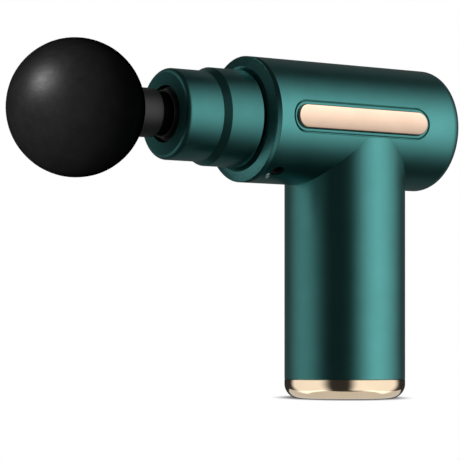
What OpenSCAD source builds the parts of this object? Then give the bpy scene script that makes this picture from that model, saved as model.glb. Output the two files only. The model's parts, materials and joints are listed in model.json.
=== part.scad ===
// Mini massage gun: a one-piece T-shaped metal housing, a battery handle, an upright
// brushless motor with a crank, and a sliding plunger that carries a foam ball head.
// Frame: origin at the centre of the base on the floor, +Z up, the ball points towards -X.
// Millimetres.

/* [Handle] */
// Outside diameter of the handle
handle_d = 45.3; // [44.6:0.1:45.5]
// Height of the barrel's axis above the floor
axis_h = 102.2; // [101:0.2:108]
// Height of the base cap's visible band
cap_h = 7.2; // [6.8:0.1:8]
// Rounding of the base cap's bottom edge
cap_round = 5.6; // [3:0.1:6]
// Wall thickness of the housing
wall = 1.6; // [1.4:0.1:1.7]

/* [Barrel] */
// Outside diameter of the barrel
barrel_d = 45.9; // [45.7:0.1:46.4]
// Distance from the handle's axis to the barrel's front edge
barrel_front = 44.9; // [44.6:0.1:45.2]
// Distance from the handle's axis to the barrel's rear face
barrel_rear = 39; // [38.8:0.1:42]
// Rounding of the barrel's rear edge
rear_round = 5.2; // [4:0.1:6]

/* [Nose] */
// Outside diameter of the nose collar
collar_d = 35.5; // [35:0.1:36.2]
// Outside diameter of the nose cap
nose_d = 32.7; // [32.4:0.1:33]
// Distance from the handle's axis to the nose cap's front face
nose_front = 80.5; // [80.3:0.1:80.7]
// Diameter of the opening in the nose cap
mouth_d = 20.4; // [19.6:0.2:21]

/* [Head] */
// Diameter of the foam ball
ball_d = 48.4; // [44:0.2:52]
// Distance from the handle's axis to the ball's centre
ball_x = 116.6; // [114:0.1:120]
// Diameter of the head's push-in stem
stem_d = 11.3; // [11:0.1:11.6]
// Diameter of the head's collar
head_collar_d = 17.5; // [17:0.1:17.9]

/* [Side trim] */
// Length of the metal trim plate
trim_l = 58.8; // [56:0.2:59]
// Height of the metal trim plate
trim_w = 8.5; // [7:0.1:9]
// How far the trim plate stands out of the barrel
trim_proud = 1; // [0.6:0.1:1.4]
// Distance from the handle's axis to the trim's centre
trim_x = 8.6; // [8.2:0.1:9]

/* [Drive] */
// Crank throw, half of the plunger's stroke
throw = 3.5; // [3:0.1:3.5]
// Distance from the motor's axis to the wrist pin
rod_l = 42.5; // [42:0.1:43]
// Diameter of the motor's bell
motor_d = 34; // [33:0.5:35]

/* [Battery] */
// Diameter of one cell
cell_d = 18.2; // [18:0.1:18.4]
// Length of one cell
cell_l = 50; // [48:0.5:50]

/* [Hidden] */

$fn = 96;
eps = 0.01;     // overlap that keeps cuts clean
fit = 0.05;     // gap between two parts that are bonded or pressed
run = 0.03;     // radial running clearance of a shaft in its hole
teal = [0.24, 0.5, 0.48];
teal_dark = [0.14, 0.34, 0.33];
gold = [0.86, 0.72, 0.6];
steel = [0.72, 0.73, 0.75];
black = [0.09, 0.09, 0.1];

handle_r = handle_d / 2;
barrel_r = barrel_d / 2;
bore_r = handle_r - wall;          // inside of the handle
chamber_r = barrel_r - wall;       // inside of the barrel
collar_r = collar_d / 2;
nose_r = nose_d / 2;
mouth_r = mouth_d / 2;
ball_r = ball_d / 2;
stem_r = stem_d / 2;
head_collar_r = head_collar_d / 2;

// Nose, front to back
nose_wall = 1.5;                   // front wall of the nose cap
nose_cap_back = nose_front - 15.2; // seam between nose cap and nose collar
ramp_l = 2.5;                      // length of the collar's sloping front
collar_back = 49;                  // rear end of the nose collar
ring_side = barrel_front + 1.9;    // front end of the front ring's round side
ring_crest = ring_side + 1.1;      // its sloping face ends here, at the crest round the recess
ring_floor = 46.6;                 // bottom of the sloping recess that the collar sits in
crest_r = collar_r + 1.35;
tube_r = 15.5;                     // nose tube under the collar
tube_front_r = 14;                 // nose tube under the nose cap
tube_flange_r = 18.6;
tube_back = 42.5;                  // rear face of the nose tube's flange
bush_r = 12;
plunger_r = 8.7;
plunger_front = nose_front;
plunger_back = rod_l - 4;
slot_front = rod_l + 6.2;          // front end of the plunger's fork slot
socket_l = 21;                     // depth of the plunger's stem socket
tube_bore_r = 10.4;                // nose tube's bore behind the bush
bush_front = 75.6;                 // from the bush forward the seal takes over
bush_back = 50;
seal_front = 78.9;
seal_l = 3.2;
nose_screw_r = 17;                 // circle of the screws in the nose tube's flange
nose_screw_turn = 15;
wrist_r = 2;

// Drive levels above or below the barrel's axis
rod_t = 5;
rod_low = axis_h - rod_t / 2;
crank_top = axis_h - 4;
crank_t = 6.2;
plate_top = axis_h - 13;
plate_t = 3;
bell_top = plate_top - plate_t - 1.2;
bell_h = 17;
bell_low = bell_top - bell_h;
motor_r = motor_d / 2;
magnet_t = 1.85;
shaft_r = 2.5;
crank_pin_r = 2;
pin_depth = 2.6;                   // the crank pin is pressed in above the shaft's end
motor_bearing_r = 5.5;
seat_depth = 4;                    // depth of the lower bearing's seat
hub_r = 7;                         // bearing tube of the bracket
hub_low = bell_low + 4.4;
bracket_screw_x = 18;
rod_bearing_r = 6.5;
stator_low = bell_low + 4.6;
stator_h = 7.4;
stator_r = motor_r - 4.3;
tooth_count = 9;
pole_count = 12;

// Battery levels
cell_r = cell_d / 2;
cell_low = 11.6;
cell_high = cell_low + cell_l;
cell_ring = (cell_d + 0.4) / sqrt(3);   // circle that the three cell centres lie on
holder_r = bore_r - 0.2;
tab_t = 0.3;                       // welded tab on each end of a cell
board_low = cell_high + 2.1;
base_screw_x = 13;
cap_floor = 1.8;                   // thickness of the base cap's bottom
plug_wall = 2;                     // wall of the cap's plug, which sits inside the handle
screw_hole_r = 1.3;
screw_sink = 0.9;                  // depth of the recess for a screw's head
screw_sink_r = 2.6;
base_screw_l = 8.4;
cell_shelf = cell_low + 2.4;       // top of the lower holder
lead_r = 0.6;
lead_x = 19.3;                     // leads climb between the motor's bell and the handle
lead_hole_x = 14.6;                // where the battery leads leave their board
lead_y = 2.6;
small_lead_r = 0.5;

// Charging socket, on the lower left of the barrel near its front
jack_x = 39.5;
jack_angle = 57;                   // below the horizontal
jack_r = 2.6;
jack_body = 7.8;
light_x = 41.6;
light_angle = 67.1;
light_l = 4.6;
light_w = 1.7;
light_lean = 25;                   // how far the window leans from the skin's round direction

// Rear control panel
button_r = 7.6;
button_proud = 0.3;
button_travel = 0.6;
board_x = 28;
board_t = 1.2;
board_r = 17.5;
board_screw_r = board_r - 2.1;
carrier_x = board_x + board_t + fit;
switch_back = board_x + 5.4;       // tip of the switch's plunger
light_count = 4;
light_ring = 9.6;
light_step = 32;

// Massage head
core_r = 12;                       // the part of the moulded core inside the foam
post_r = 6;
head_back = plunger_front + fit;   // the head's shoulder rests on the plunger's front face
head_flange_t = 0.9;
head_neck_l = 4.25;
head_neck_r = head_collar_r - 1;
stem_l = 19.4;
stem_end = head_back - stem_l;
stem_chamfer = 0.8;
o_ring_x = head_back - 9.7;
o_ring_t = 0.94;

// ---------- helpers ----------

// A solid of revolution about the barrel's axis: the 2D child has radius as x and
// distance towards +X as y.
module lathe() {
    translate([0, 0, axis_h]) rotate([0, 90, 0]) rotate_extrude() children();
}

// A round bar along the barrel's axis from x0 to x1.
module bar(x0, x1, r) {
    translate([x0, 0, axis_h]) rotate([0, 90, 0]) cylinder(h = x1 - x0, r = r);
}

// A ring along the barrel's axis from x0 to x1.
module sleeve(x0, x1, outer, inner) {
    difference() {
        bar(x0, x1, outer);
        bar(x0 - eps, x1 + eps, inner);
    }
}

// An upright ring from z0 to z1.
module ring(z0, z1, outer, inner) {
    translate([0, 0, z0]) difference() {
        cylinder(h = z1 - z0, r = outer);
        translate([0, 0, -eps]) cylinder(h = z1 - z0 + 2 * eps, r = inner);
    }
}

// A flat bar with round ends, centred, with its length along x.
module pill(l, w) {
    square([l - w, w], center = true);
    for (side = [-1, 1])
        translate([side * (l - w) / 2, 0]) circle(d = w);
}

// Half profile of the barrel shrunk by inset, as radius and distance towards +X.
module barrel_profile(inset, front) {
    r = barrel_r - inset;
    back = barrel_rear - inset;
    round_r = rear_round - inset;
    flat_r = barrel_r - rear_round;
    translate([0, -front]) square([r, front + barrel_rear - rear_round]);
    square([flat_r, back]);
    intersection() {
        translate([flat_r, barrel_rear - rear_round]) circle(r = round_r);
        translate([flat_r, barrel_rear - rear_round - eps]) square([round_r, round_r + eps]);
    }
}

// Places children on the barrel's skin at an angle below the horizontal on the left side,
// with +Z pointing out of the skin.
module on_skin(x, angle) {
    translate([x, 0, axis_h]) rotate([90 + angle, 0, 0]) children();
}

// Places a child on each of count places round the barrel's axis.
module around_x(count, start = 0) {
    for (i = [0 : count - 1])
        translate([0, 0, axis_h]) rotate([start + i * 360 / count, 0, 0])
            translate([0, 0, -axis_h]) children();
}

// Places a child on each of count places round the handle's axis.
module around_z(count, start = 0) {
    for (i = [0 : count - 1])
        rotate([0, 0, start + i * 360 / count]) children();
}

// A pan head screw pointing down, with its head's underside at the origin.
module screw(d, l, head_d, head_h) {
    difference() {
        union() {
            translate([0, 0, -l]) cylinder(h = l + eps, d = d, $fn = 32);
            cylinder(h = head_h, d = head_d, $fn = 32);
        }
        for (turn = [0, 90])
            rotate([0, 0, turn]) translate([0, 0, head_h])
                cube([head_d * 0.6, head_d * 0.14, head_h], center = true);
    }
}

// A round wire through a list of points. The ball at each bend is a little fatter than the wire.
module wire(points, r) {
    for (i = [0 : len(points) - 2]) {
        step = points[i + 1] - points[i];
        length = norm(step);
        translate(points[i])
            rotate([0, acos(step[2] / length), atan2(step[1], step[0])])
                cylinder(h = length, r = r, $fn = 20);
    }
    for (i = [1 : len(points) - 2])
        translate(points[i]) sphere(r = 1.1 * r, $fn = 20);
}

// ---------- housing and trim ----------

// The room that the charging socket needs behind the skin.
module jack_room() {
    side = jack_body + 1;
    on_skin(-jack_x, jack_angle)
        translate([-side / 2, -side / 2, chamber_r - side]) cube([side, side, side + 1]);
}

// The charge light's window between two distances from the barrel's axis.
module light_prism(low, high, inset) {
    on_skin(-light_x, light_angle) translate([0, 0, low]) rotate([0, 0, 90 + light_lean])
        linear_extrude(height = high - low) pill(light_l - 2 * inset, light_w - 2 * inset);
}

module trim_prism(l, w, side) {
    translate([-trim_x, 0, axis_h]) rotate([90 * side, 0, 0])
        linear_extrude(height = barrel_r + 5) pill(l, w);
}

module trim_shell(low_r, high_r) {
    sleeve(-trim_x - trim_l, -trim_x + trim_l, high_r, low_r);
}

trim_floor_r = barrel_r - 0.9;     // bottom of the pocket that holds the trim
frame_l = trim_l + 2.6;
frame_w = trim_w + 2.8;

module housing() {
    color(teal) difference() {
        union() {
            lathe() barrel_profile(0, barrel_front);
            translate([0, 0, cap_h]) cylinder(h = axis_h - cap_h, r = handle_r);
        }
        lathe() barrel_profile(wall, barrel_front + 1);
        translate([0, 0, cap_h - 1]) cylinder(h = axis_h - cap_h + 1, r = bore_r);
        for (side = [-1, 1])
            intersection() {
                trim_prism(frame_l + 0.3, frame_w + 0.3, side);
                trim_shell(trim_floor_r, barrel_r + 1);
            }
        on_skin(-jack_x, jack_angle) cylinder(h = barrel_r + 1, r = jack_r);
        light_prism(0, barrel_r + 1, 0);
        bar(barrel_rear - wall - 1, barrel_rear + 1, button_r + 0.2);
        level_places() cylinder(h = 3 * wall, r = 0.8, center = true, $fn = 32);
    }
}

module front_ring() {
    color(teal) difference() {
        union() {
            lathe() polygon([
                [tube_r + fit, -barrel_front],
                [tube_r + fit, -ring_floor],
                [crest_r, -ring_crest],
                [barrel_r, -ring_side],
                [barrel_r, -barrel_front]
            ]);
            sleeve(-barrel_front - eps, -barrel_front + 2.2, chamber_r - fit, tube_flange_r + fit);
        }
        jack_room();
    }
}

module nose_collar() {
    front = nose_cap_back - fit;
    edge = 0.35;
    color(teal) lathe() polygon([
        [tube_r + fit, -collar_back],
        [tube_r + fit, -front],
        [nose_r - 0.1, -front],
        [collar_r - edge, -front + ramp_l],
        [collar_r, -front + ramp_l + edge],
        [collar_r, -collar_back - edge],
        [collar_r - edge, -collar_back]
    ]);
}

module nose_cap() {
    edge = 2;
    color(teal) lathe() difference() {
        union() {
            translate([0, -nose_front + edge])
                square([nose_r, nose_front - edge - nose_cap_back]);
            translate([0, -nose_front]) square([nose_r - edge, edge + eps]);
            translate([nose_r - edge, -nose_front + edge]) circle(r = edge);
        }
        translate([-1, -nose_front - 1]) square([mouth_r + 1, nose_front]);
        translate([-1, -nose_front + nose_wall])
            square([tube_front_r + fit + 1, nose_front]);
    }
}

module nose_tube() {
    front = nose_front - nose_wall - fit;
    color(black) difference() {
        union() {
            bar(-front, -nose_cap_back, tube_front_r);
            bar(-nose_cap_back, -barrel_front + fit, tube_r);
            bar(-barrel_front + fit, -tube_back, tube_flange_r);
        }
        bar(-front - 1, -bush_back, bush_r + fit);
        bar(-bush_back - 1, -tube_back + 1, tube_bore_r);
        jack_room();
        around_x(4, nose_screw_turn) translate([-barrel_front, 0, axis_h + nose_screw_r])
            rotate([0, 90, 0]) cylinder(h = 6, r = 0.9, $fn = 32);
    }
}

module guide_bush() {
    color([0.85, 0.83, 0.76]) difference() {
        bar(-bush_front, -bush_back - fit, bush_r);
        bar(-bush_front - 1, -bush_back + 1, plunger_r + run);
        for (x = [-56, -63, -70])
            lathe() translate([plunger_r, x]) circle(r = 0.6, $fn = 24);
    }
}

module wiper_seal() {
    color(black) lathe() difference() {
        translate([plunger_r + 0.1, -seal_front]) square([bush_r - plunger_r - 0.1, seal_l]);
        translate([plunger_r + 0.9, -seal_front - 1]) square([1.6, 2.3]);
    }
}

module nose_screws() {
    color(steel) around_x(4, nose_screw_turn)
        translate([-tube_back + fit, 0, axis_h + nose_screw_r]) rotate([0, 90, 0])
            screw(1.7, 2.2, 3, 1.2);
}

module trim_plate(side) {
    color(gold) intersection() {
        trim_prism(trim_l, trim_w, side);
        trim_shell(trim_floor_r, barrel_r + trim_proud);
    }
}

module trim_frame(side) {
    color(teal_dark) difference() {
        intersection() {
            trim_prism(frame_l, frame_w, side);
            trim_shell(trim_floor_r, barrel_r - 0.05);
        }
        trim_prism(trim_l + 0.1, trim_w + 0.1, side);
    }
}

module left_trim() { trim_plate(1); }

module right_trim() { trim_plate(-1); }

module left_trim_frame() { trim_frame(1); }

module right_trim_frame() { trim_frame(-1); }

// ---------- base and battery ----------

module base_cap() {
    plug_r = bore_r - 0.1;
    flat_r = handle_r - cap_round;
    color(gold) difference() {
        union() {
            rotate_extrude() {
                translate([0, cap_round]) square([handle_r, cap_h - cap_round - fit]);
                square([flat_r, cap_round + eps]);
                intersection() {
                    translate([flat_r, cap_round]) circle(r = cap_round);
                    square([handle_r, cap_round + eps]);
                }
            }
            ring(cap_h - 1, cap_h + 2.6, plug_r, plug_r - plug_wall);
        }
        translate([0, 0, cap_floor]) cylinder(h = cap_h, r = plug_r - plug_wall);
        around_z(2) translate([base_screw_x, 0, -1]) {
            cylinder(h = cap_floor + 2, r = screw_hole_r, $fn = 32);
            cylinder(h = screw_sink + 1, r = screw_sink_r, $fn = 32);
        }
    }
}

module base_screws() {
    color(steel) around_z(2) translate([base_screw_x, 0, screw_sink - fit]) mirror([0, 0, 1])
        screw(2.2, base_screw_l, 4.6, 0.8);
}

// A round plate with a shallow pocket for each cell.
module cell_plate(low, high, pocket_low, pocket_high) {
    difference() {
        translate([0, 0, low]) cylinder(h = high - low, r = holder_r);
        around_z(3, 90) translate([cell_ring, 0, pocket_low])
            cylinder(h = pocket_high - pocket_low, r = cell_r + 0.1);
        translate([0, 0, low - 1]) cylinder(h = high - low + 2, r = 1.6, $fn = 32);
    }
}

module lower_cell_holder() {
    color([0.2, 0.2, 0.22]) difference() {
        union() {
            cell_plate(cap_h + 3, cell_shelf, cell_low - tab_t, cell_shelf + 1);
            around_z(2) translate([base_screw_x, 0, cap_floor + 0.2])
                cylinder(h = cap_h + 1.1, r = screw_sink_r, $fn = 32);
        }
        around_z(2) translate([base_screw_x, 0, 1])
            cylinder(h = base_screw_l + 0.2, r = 1.15, $fn = 32);
    }
}

module upper_cell_holder() {
    color([0.2, 0.2, 0.22]) difference() {
        cell_plate(cell_high - 2.4, cell_high + 2, cell_high - 3, cell_high + tab_t);
        for (side = [-1, 1])
            translate([lead_hole_x, side * lead_y, cell_high - 4])
                cylinder(h = 8, r = 1.1, $fn = 24);
    }
}

module battery_cells() {
    color([0.16, 0.35, 0.62]) around_z(3, 90) translate([cell_ring, 0, cell_low]) {
        difference() {
            cylinder(h = cell_l - 0.6, r = cell_r);
            translate([0, 0, cell_l - 1.2]) difference() {
                cylinder(h = 1, r = cell_r - 0.9);
                translate([0, 0, -1]) cylinder(h = 3, r = 3.4, $fn = 32);
            }
        }
        translate([0, 0, cell_l - 0.7]) cylinder(h = 0.7, r = 3.2, $fn = 32);
    }
}

module cell_tabs() {
    color(steel) for (z = [cell_low - tab_t, cell_high])
        around_z(3, 90) translate([cell_ring - 5, -2.5, z]) cube([9, 5, tab_t - 0.02]);
}

module battery_board() {
    color([0.1, 0.35, 0.2]) difference() {
        union() {
            translate([0, 0, board_low]) cylinder(h = 1, r = 17);
            translate([-9, -4, board_low + 0.9]) cube([5, 8, 1.1]);
            translate([2, -8, board_low + 0.9]) cube([4, 4, 0.9]);
            translate([2, 4, board_low + 0.9]) cube([4, 4, 0.9]);
        }
        for (side = [-1, 1])
            translate([lead_hole_x, side * lead_y, board_low - 1])
                cylinder(h = 3, r = 0.7, $fn = 24);
    }
}

module battery_leads() {
    turn = board_low + 2.4;
    run_z = axis_h - 3;
    color([0.7, 0.1, 0.1]) for (side = [-1, 1])
        wire([
            [lead_hole_x, side * lead_y, board_low - 0.6],
            [lead_hole_x, side * lead_y, turn],
            [lead_x, side * lead_y, turn],
            [lead_x, side * lead_y, run_z],
            [board_x - fit, side * lead_y, run_z]
        ], lead_r);
}

// ---------- motor ----------

module motor_bracket() {
    notch = lead_y + lead_r + 0.4;
    color([0.55, 0.57, 0.6]) difference() {
        union() {
            ring(plate_top - plate_t, plate_top, bore_r - 0.1, hub_r - 1);
            ring(hub_low, plate_top, hub_r, motor_bearing_r - 1);
        }
        translate([0, 0, hub_low - 1]) cylinder(h = seat_depth + 1, r = motor_bearing_r + 0.02);
        translate([0, 0, plate_top - plate_t - 2])
            cylinder(h = plate_t + 3, r = motor_bearing_r + 0.02);
        translate([0, 0, plate_top - plate_t - 1]) {
            translate([lead_x, -notch, 0]) cube([4, 2 * notch, plate_t + 2]);
            translate([lead_x, 0, 0]) cylinder(h = plate_t + 2, r = notch);
            around_z(3, 60) translate([bracket_screw_x, 0, 0])
                cylinder(h = plate_t + 2, r = 1.1, $fn = 32);
            around_z(4, 45) translate([12, 0, 0]) cylinder(h = plate_t + 2, r = 2.2, $fn = 32);
        }
    }
}

module bracket_screws() {
    color(steel) around_z(3, 60) translate([bracket_screw_x, 0, plate_top + fit])
        screw(2, 3.6, 3.6, 1.4);
}

module stator_core() {
    yoke_r = hub_r + 2.2;
    color([0.35, 0.36, 0.38]) translate([0, 0, stator_low]) linear_extrude(height = stator_h)
        difference() {
            union() {
                circle(r = yoke_r);
                around_z(tooth_count) {
                    translate([hub_r + 1, -1.1]) square([stator_r - hub_r - 1.6, 2.2]);
                    translate([stator_r - 1.2, -3.3]) square([1.2, 6.6]);
                }
            }
            circle(r = hub_r + fit);
        }
}

module stator_windings() {
    long = stator_r - hub_r - 3.9;
    color([0.78, 0.42, 0.2]) around_z(tooth_count)
        translate([hub_r + 2.6, 0, 0]) difference() {
            translate([0, -1.9, stator_low - 0.9]) cube([long, 3.8, stator_h + 1.8]);
            translate([-1, -1.15, stator_low - 0.05]) cube([long + 2, 2.3, stator_h + 0.1]);
        }
}

module motor_bearings() {
    color(steel) {
        ring(plate_top - plate_t - 1.9, plate_top - 0.1, motor_bearing_r, shaft_r + run);
        ring(hub_low, hub_low + seat_depth - 0.1, motor_bearing_r, shaft_r + run);
    }
}

module motor_leads() {
    pitch = 1.3;
    climb_x = lead_x - 1.3;
    low_z = bell_top + 0.55;
    run_z = axis_h - 6.5;
    color([0.85, 0.7, 0.1]) for (i = [-1 : 1])
        wire([
            [12, i * pitch, low_z],
            [climb_x, i * pitch, low_z],
            [climb_x, i * pitch, run_z],
            [board_x - fit, i * pitch, run_z]
        ], small_lead_r);
}

module rotor_bell() {
    color([0.2, 0.2, 0.22]) difference() {
        union() {
            ring(bell_low, bell_top, motor_r, motor_r - 1.6);
            ring(bell_low, bell_low + 1.6, motor_r, shaft_r);
            ring(bell_low, bell_low + 3.6, 4.6, shaft_r);
        }
        around_z(6) translate([10.5, 0, bell_low - 1]) cylinder(h = 4, r = 2.6, $fn = 32);
    }
}

module rotor_magnets() {
    outer = motor_r - 1.65;
    color([0.6, 0.6, 0.62]) difference() {
        ring(stator_low - 0.6, stator_low + stator_h + 0.6, outer, outer - magnet_t);
        around_z(pole_count) translate([motor_r - 5, -0.3, stator_low - 2])
            cube([5, 0.6, stator_h + 4]);
    }
}

module motor_shaft() {
    color(steel) translate([0, 0, bell_low])
        cylinder(h = crank_top - pin_depth - 0.3 - bell_low, r = shaft_r);
}

// ---------- crank, rod and plunger ----------

module crank_wheel() {
    low = crank_top - crank_t;
    color([0.62, 0.6, 0.55]) difference() {
        union() {
            translate([0, 0, low]) cylinder(h = crank_t, r = 8);
            intersection() {
                translate([0, 0, low]) cylinder(h = crank_t, r = 13);
                translate([-13, -1, low]) cube([26, 15, crank_t]);
            }
            ring(low - 1.6, low + 1, 4.4, shaft_r);
        }
        translate([0, 0, low - 3]) cylinder(h = crank_t + 2.9 - pin_depth, r = shaft_r);
        translate([0, -throw, crank_top - pin_depth]) cylinder(h = 9, r = crank_pin_r + 0.02);
        translate([0, 0, low + 1.8]) rotate([-90, 0, 0]) cylinder(h = 20, r = 1.3, $fn = 32);
    }
}

module grub_screw() {
    color(steel) translate([0, shaft_r + 0.02, crank_top - crank_t + 1.8]) rotate([-90, 0, 0])
        difference() {
            cylinder(h = 6, r = 1.25, $fn = 32);
            translate([0, 0, 4.8]) cylinder(h = 2, r = 0.7, $fn = 6);
        }
}

module crank_pin() {
    color(steel) translate([0, -throw, 0]) {
        translate([0, 0, crank_top]) cylinder(h = rod_low - crank_top - 0.05, r = 3);
        translate([0, 0, crank_top - pin_depth + 0.05])
            cylinder(h = pin_depth + rod_t + 4, r = crank_pin_r);
    }
}

module pin_clip() {
    color(black) translate([0, -throw, 0])
        ring(rod_low + rod_t + 0.1, rod_low + rod_t + 0.8, 3.2, crank_pin_r);
}

module big_end_bearing() {
    color(steel) translate([0, -throw, 0])
        ring(rod_low, rod_low + rod_t, rod_bearing_r, crank_pin_r + run);
}

// The rod's small end sits half a throw nearer to the plunger's axis than the crank pin.
module connecting_rod() {
    eye_x = wrist_r + 0.9;
    eye_y = wrist_r + throw / 2 + 0.15;
    eye_wall = 2;
    color([0.75, 0.76, 0.78]) translate([0, 0, rod_low]) linear_extrude(height = rod_t)
        difference() {
            union() {
                translate([0, -throw]) circle(r = rod_bearing_r + 2.4);
                polygon([
                    [-4, -throw - 4.4], [-4, -throw + 4.4],
                    [-rod_l + 2.5, -throw / 2 + 3], [-rod_l + 2.5, -throw / 2 - 3]
                ]);
                translate([-rod_l, -throw / 2]) rotate(90)
                    pill(2 * (eye_y + eye_wall), 2 * (eye_x + eye_wall));
            }
            translate([0, -throw]) circle(r = rod_bearing_r + 0.02);
            translate([-rod_l, -throw / 2]) rotate(90) pill(2 * eye_y, 2 * eye_x);
        }
}

module wrist_pin() {
    color(steel) translate([-rod_l, 0, axis_h - 7.4]) cylinder(h = 14.8, r = wrist_r);
}

module plunger() {
    socket_r = stem_r + 0.08;
    color(steel) difference() {
        bar(-plunger_front, -plunger_back, plunger_r);
        bar(-plunger_front - 1, -plunger_front + socket_l, socket_r);
        translate([-slot_front, -plunger_r - 1, rod_low - 0.4])
            cube([slot_front, 2 * plunger_r + 2, rod_t + 0.8]);
        translate([-rod_l, 0, axis_h - 10]) cylinder(h = 20, r = wrist_r + 0.02);
    }
}

// ---------- electronics and controls ----------

// Screw holes through the board and its carrier.
module board_screw_holes(r) {
    around_x(3, 30) translate([board_x - 1, 0, axis_h + board_screw_r]) rotate([0, 90, 0])
        cylinder(h = 10, r = r, $fn = 24);
}

module main_board() {
    color([0.1, 0.35, 0.2]) {
        difference() {
            bar(board_x, board_x + board_t, board_r);
            board_screw_holes(0.75);
        }
        translate([board_x - 2, -9, axis_h + 4]) cube([2.01, 6, 6]);
        translate([board_x - 1.6, 3, axis_h + 4]) cube([1.61, 8, 5]);
        for (i = [0 : 2])
            translate([board_x - 1.4, -8 + 6 * i, axis_h - 11.5]) cube([1.41, 4, 3]);
    }
}

// A ring between the board and the barrel's rear wall, shaped to the wall's rounding.
module board_carrier() {
    color(black) difference() {
        intersection() {
            lathe() barrel_profile(wall + 0.1, 0);
            bar(carrier_x, barrel_rear, board_r);
        }
        bar(board_x, barrel_rear + 1, board_r - 4.2);
        board_screw_holes(0.75);
    }
}

module board_screws() {
    color(steel) around_x(3, 30)
        translate([board_x - fit, 0, axis_h + board_screw_r]) rotate([0, -90, 0])
            screw(1.4, 5, 3, 1.1);
}

module tact_switch() {
    color([0.75, 0.75, 0.72]) {
        translate([board_x + board_t, -3, axis_h - 3]) cube([3.5, 6, 6]);
        bar(board_x + board_t + 3.4, switch_back, 1.6);
    }
}

module power_button() {
    inner = barrel_rear - wall;
    color([0.35, 0.36, 0.37]) {
        bar(inner - 1.2, barrel_rear + button_proud, button_r);
        bar(inner - 1.2, inner - 0.2, button_r + 0.9);
        bar(switch_back + button_travel + 0.05, inner - 1.1, 2);
    }
}

// The places of the battery level lights, on an arc above the button, along +X.
module level_places() {
    for (i = [0 : light_count - 1]) {
        angle = (i - (light_count - 1) / 2) * light_step;
        translate([barrel_rear, light_ring * sin(angle), axis_h + light_ring * cos(angle)])
            rotate([0, 90, 0]) children();
    }
}

module level_lights() {
    color([0.95, 0.97, 1]) level_places() translate([0, 0, -wall - 2])
        cylinder(h = wall + 2, r = 0.75, $fn = 32);
}

module charge_jack() {
    color(black) on_skin(-jack_x, jack_angle) difference() {
        union() {
            translate([-jack_body / 2, -jack_body / 2, chamber_r - 8])
                cube([jack_body, jack_body, 7]);
            translate([0, 0, chamber_r - 2]) cylinder(h = 3.2, r = jack_r - 0.05);
        }
        translate([0, 0, chamber_r - 6.5]) cylinder(h = 9, r = 1.75);
        translate([0, 0, chamber_r - 7]) cylinder(h = 1, r = 0.5, $fn = 24);
    }
    color(steel) on_skin(-jack_x, jack_angle) translate([0, 0, chamber_r - 6.6])
        cylinder(h = 5, r = 0.5, $fn = 24);
}

// The leads run low past the crank, on the left side of the barrel.
module jack_leads() {
    low_z = axis_h - 15.5;
    run_z = axis_h - 8;
    color([0.15, 0.15, 0.15]) for (side = [-1.2, 1.2])
        wire([
            [-jack_x + 4, -9 + side, low_z],
            [-24, -9 + side, low_z],
            [-24, -16.5 + side, run_z],
            [12, -16.5 + side, run_z],
            [board_x - fit, -12.5 + side, run_z]
        ], small_lead_r);
}

module charge_light() {
    color([0.9, 0.95, 0.92]) light_prism(chamber_r + 0.1, barrel_r - 0.15, 0.05);
}

// ---------- massage head ----------

module head_ball() {
    hole_end = -ball_x + ball_r + 5;
    color(black) difference() {
        translate([-ball_x, 0, axis_h]) sphere(r = ball_r);
        bar(-ball_x - post_r, hole_end, post_r + fit);
        bar(-ball_x + ball_r - 1.9, hole_end, head_collar_r + fit);
        translate([-ball_x, 0, axis_h]) sphere(r = core_r + fit);
    }
}

module head_core() {
    flange_front = head_back + head_flange_t;
    collar_end = flange_front + head_neck_l;
    color([0.2, 0.2, 0.21]) {
        translate([-ball_x, 0, axis_h]) sphere(r = core_r);
        bar(-ball_x, -ball_x + ball_r - 1, post_r);
        bar(-ball_x + ball_r - 1.8, -collar_end, head_collar_r);
        bar(-collar_end - 1, -flange_front + head_flange_t / 2, head_neck_r);
        bar(-flange_front, -head_back, plunger_r - fit);
        difference() {
            bar(-head_back - 1, -stem_end - stem_chamfer, stem_r);
            sleeve(-o_ring_x - 0.6, -o_ring_x + 0.6, stem_r + 1, stem_r - 0.9);
        }
        lathe() polygon([
            [0, -stem_end - stem_chamfer - eps],
            [stem_r, -stem_end - stem_chamfer - eps],
            [stem_r - stem_chamfer, -stem_end],
            [0, -stem_end]
        ]);
    }
}

module stem_o_ring() {
    color(black) lathe() translate([stem_r - 0.42, -o_ring_x]) circle(d = o_ring_t, $fn = 24);
}

// ---------- assembly ----------

housing();
front_ring();
nose_collar();
nose_cap();
nose_tube();
guide_bush();
wiper_seal();
nose_screws();
left_trim();
right_trim();
left_trim_frame();
right_trim_frame();
base_cap();
base_screws();
lower_cell_holder();
upper_cell_holder();
battery_cells();
cell_tabs();
battery_board();
battery_leads();
motor_bracket();
bracket_screws();
stator_core();
stator_windings();
motor_bearings();
motor_leads();
rotor_bell();
rotor_magnets();
motor_shaft();
crank_wheel();
grub_screw();
crank_pin();
pin_clip();
big_end_bearing();
connecting_rod();
wrist_pin();
plunger();
main_board();
board_carrier();
board_screws();
tact_switch();
power_button();
level_lights();
charge_jack();
jack_leads();
charge_light();
head_ball();
head_core();
stem_o_ring();
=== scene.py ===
"""Looks of the mini massage gun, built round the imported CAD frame. Lengths are in metres.

The barrel lies along X with the ball head towards -X, and the handle stands on Z.
"""

import json
import math

import bmesh
import bpy
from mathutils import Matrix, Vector, noise

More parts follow.
